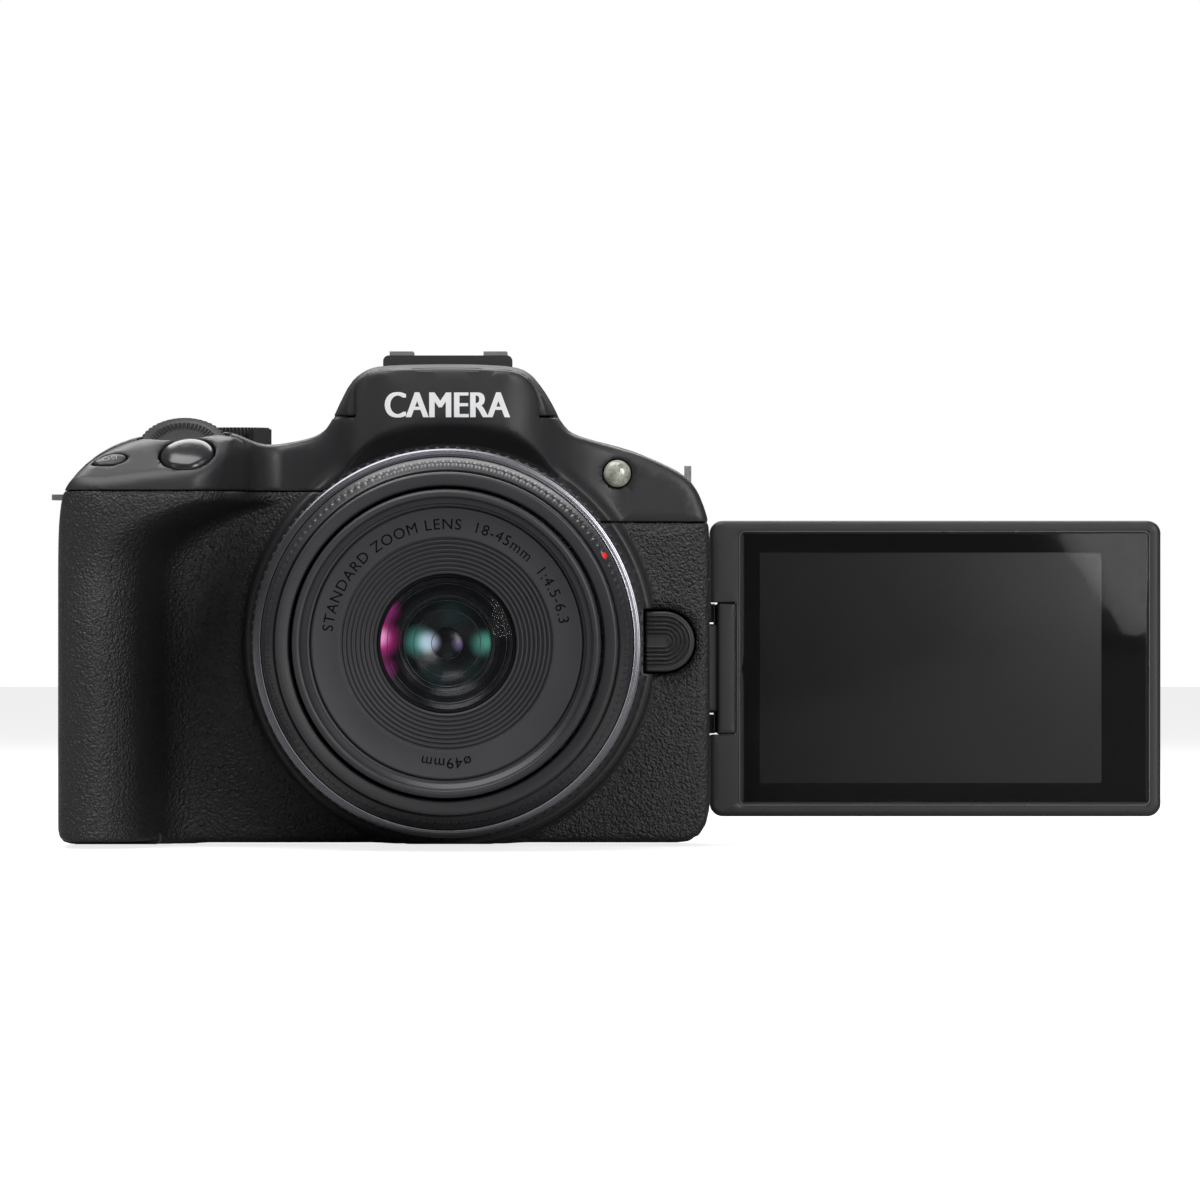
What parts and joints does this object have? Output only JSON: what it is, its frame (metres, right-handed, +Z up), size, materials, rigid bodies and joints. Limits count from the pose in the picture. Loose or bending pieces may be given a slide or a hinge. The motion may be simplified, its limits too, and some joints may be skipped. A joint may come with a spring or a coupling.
{
  "type": "mirrorless camera",
  "caption": "Small interchangeable-lens camera with a grip, viewfinder hump with pop-up flash, retracting zoom lens and a side-hinged screen swung out to face forward.",
  "frame": {"origin": "mouth of the tripod socket on the base plane, under the lens axis and in the sensor plane", "axes": "+X to the screen side, -Y along the lens towards the subject, +Z up"},
  "size_m": [0.1992, 0.0953, 0.088],
  "materials": {
    "smooth": "satin moulded plastic",
    "grained": "leather-grain moulded plastic",
    "rubber": "matt",
    "gloss": "glossy",
    "steel": "brushed",
    "alloy": "satin",
    "black_metal": "satin black",
    "brass": "plated",
    "glass": "coated",
    "panel_glass": "polished",
    "clear": "clear",
    "board": "printed board",
    "cell": "battery case",
    "inner": "matt"
  },
  "bodies": {
    "body": {"front_cover": "grained", "top_cover": "smooth", "rear_cover": "smooth", "bottom_cover": "smooth", "chassis": "alloy", "mount_ring": "steel", "case_screws": "steel", "body_contacts": "brass", "tripod_socket": "steel", "shutter_unit": "black_metal", "image_sensor": "board", "main_board": "board", "battery": "cell", "evf_unit": "inner", "eyepiece_lens": "glass", "eyecup": "rubber", "hot_shoe": "steel", "shoe_cap": "smooth", "strap_lugs": "steel", "af_lamp": "clear", "sockets": "steel", "hinge_bracket": "steel", "hinge_pins": "steel", "grip_cover": "grained"},
    "flash": {"flash_head": "smooth", "flash_window": "clear"},
    "screen": {"screen_frame": "smooth", "screen_back": "smooth", "screen_glass": "panel_glass", "lcd_panel": "inner"},
    "arm": {"screen_arm": "smooth"},
    "lens": {"lens_mount": "steel", "lens_barrel": "smooth", "rear_glass": "glass"},
    "zoom": {"zoom_ring": "smooth"},
    "control": {"control_ring": "smooth"},
    "barrel": {"inner_barrel": "smooth", "name_ring": "inner", "front_glass": "glass", "iris": "black_metal"},
    "focus": {"focus_group": "inner"},
    "shutter_key": {"shutter_button": "gloss"},
    "iso_key": {"iso_button": "smooth"},
    "movie_key": {"movie_button": "smooth"},
    "dial_wheel": {"main_dial": "smooth"},
    "mode_wheel": {"mode_dial": "smooth"},
    "power_ring": {"power_lever": "smooth"},
    "ae_lock_key": {"ae_lock_button": "smooth"},
    "af_point_key": {"af_point_button": "smooth"},
    "info_key": {"info_button": "smooth"},
    "play_key": {"play_button": "smooth"},
    "menu_key": {"menu_button": "smooth"},
    "pad_key": {"four_way_pad": "smooth"},
    "set_key": {"set_button": "smooth"},
    "release_key": {"release_button": "smooth"},
    "pin_bolt": {"lock_pin": "steel"},
    "battery_lid": {"battery_door": "smooth"},
    "mic_lid": {"mic_door": "rubber"},
    "port_lid": {"port_door": "rubber"},
    "diopter_knob": {"diopter_slider": "smooth"}
  },
  "joints": [
    {"name": "screen_swing", "type": "hinge", "parent": "body", "child": "arm", "pos_m": [0.045, 0.0155, 0.03115], "axis": [0, 0, -1], "range_deg": [-180, 0]},
    {"name": "screen_tilt", "type": "hinge", "parent": "arm", "child": "screen", "pos_m": [0.05, 0.0155, 0.03115], "axis": [-1, 0, 0], "range_deg": [0, 270]},
    {"name": "shutter_press", "type": "slide", "parent": "body", "child": "shutter_key", "axis": [0.099, 0.5564, -0.825], "range_m": [0, 0.0012], "stiffness_N_per_m": 800},
    {"name": "iso_press", "type": "slide", "parent": "body", "child": "iso_key", "axis": [0.099, 0.5564, -0.825], "range_m": [0, 0.0008], "stiffness_N_per_m": 800},
    {"name": "movie_press", "type": "slide", "parent": "body", "child": "movie_key", "axis": [0, 0, -1], "range_m": [0, 0.0008], "stiffness_N_per_m": 800},
    {"name": "ae_lock_press", "type": "slide", "parent": "body", "child": "ae_lock_key", "axis": [0, -1, 0], "range_m": [0, 0.0008], "stiffness_N_per_m": 800},
    {"name": "af_point_press", "type": "slide", "parent": "body", "child": "af_point_key", "axis": [0, -1, 0], "range_m": [0, 0.0008], "stiffness_N_per_m": 800},
    {"name": "info_press", "type": "slide", "parent": "body", "child": "info_key", "axis": [0, -1, 0], "range_m": [0, 0.0008], "stiffness_N_per_m": 800},
    {"name": "play_press", "type": "slide", "parent": "body", "child": "play_key", "axis": [0, -1, 0], "range_m": [0, 0.0008], "stiffness_N_per_m": 800},
    {"name": "menu_press", "type": "slide", "parent": "body", "child": "menu_key", "axis": [0, -1, 0], "range_m": [0, 0.0008], "stiffness_N_per_m": 800},
    {"name": "pad_press", "type": "slide", "parent": "body", "child": "pad_key", "axis": [0, -1, 0], "range_m": [0, 0.0008], "stiffness_N_per_m": 800},
    {"name": "set_press", "type": "slide", "parent": "body", "child": "set_key", "axis": [0, -1, 0], "range_m": [0, 0.0008], "stiffness_N_per_m": 800},
    {"name": "release_press", "type": "slide", "parent": "body", "child": "release_key", "axis": [0, 1, 0], "range_m": [0, 0.0015], "stiffness_N_per_m": 800},
    {"name": "lock_pin_draw", "type": "slide", "parent": "body", "child": "pin_bolt", "axis": [0, 1, 0], "range_m": [0, 0.0015]},
    {"name": "main_dial_turn", "type": "hinge", "parent": "body", "child": "dial_wheel", "pos_m": [-0.0473, -0.016, 0.0698], "axis": [0, -0.6198, 0.7848], "continuous": true},
    {"name": "mode_dial_turn", "type": "hinge", "parent": "body", "child": "mode_wheel", "pos_m": [-0.0389, 0.003, 0.07], "axis": [0, 0, 1], "continuous": true},
    {"name": "power_turn", "type": "hinge", "parent": "body", "child": "power_ring", "pos_m": [-0.0389, 0.003, 0.07], "axis": [0, 0, -1], "range_deg": [0, 30]},
    {"name": "flash_raise", "type": "hinge", "parent": "body", "child": "flash", "pos_m": [0, 0.001, 0.082], "axis": [-1, 0, 0], "range_deg": [0, 65]},
    {"name": "battery_door_open", "type": "hinge", "parent": "body", "child": "battery_lid", "pos_m": [-0.0521, -0.004, 0.00125], "axis": [0, -1, 0], "range_deg": [0, 90]},
    {"name": "mic_door_open", "type": "hinge", "parent": "body", "child": "mic_lid", "pos_m": [0.046, -0.0059, 0.046], "axis": [0, 0, 1], "range_deg": [-95, 0]},
    {"name": "port_door_open", "type": "hinge", "parent": "body", "child": "port_lid", "pos_m": [-0.0691, -0.0024, 0.0555], "axis": [0, 0, 1], "range_deg": [0, 100]},
    {"name": "diopter_slide", "type": "slide", "parent": "body", "child": "diopter_knob", "axis": [0, 0, 1], "range_m": [-0.002, 0.002]},
    {"name": "lens_off", "type": "slide", "parent": "body", "child": "lens", "axis": [0, -1, 0], "range_m": [0, 0.035]},
    {"name": "zoom_turn", "type": "hinge", "parent": "lens", "child": "zoom", "pos_m": [0, -0.04, 0.0359], "axis": [0, -1, 0], "range_deg": [0, 65]},
    {"name": "barrel_extend", "type": "slide", "parent": "lens", "child": "barrel", "axis": [0, -1, 0], "range_m": [0, 0.017]},
    {"name": "control_turn", "type": "hinge", "parent": "lens", "child": "control", "pos_m": [0, -0.054, 0.0359], "axis": [0, -1, 0], "continuous": true},
    {"name": "focus_move", "type": "slide", "parent": "barrel", "child": "focus", "axis": [0, -1, 0], "range_m": [-0.003, 0.003]}
  ],
  "couplings": [
    {"joint": "lock_pin_draw", "follows": "release_press", "ratio": 1},
    {"joint": "barrel_extend", "follows": "zoom_turn", "m_per_rad": 0.01498}
  ]
}
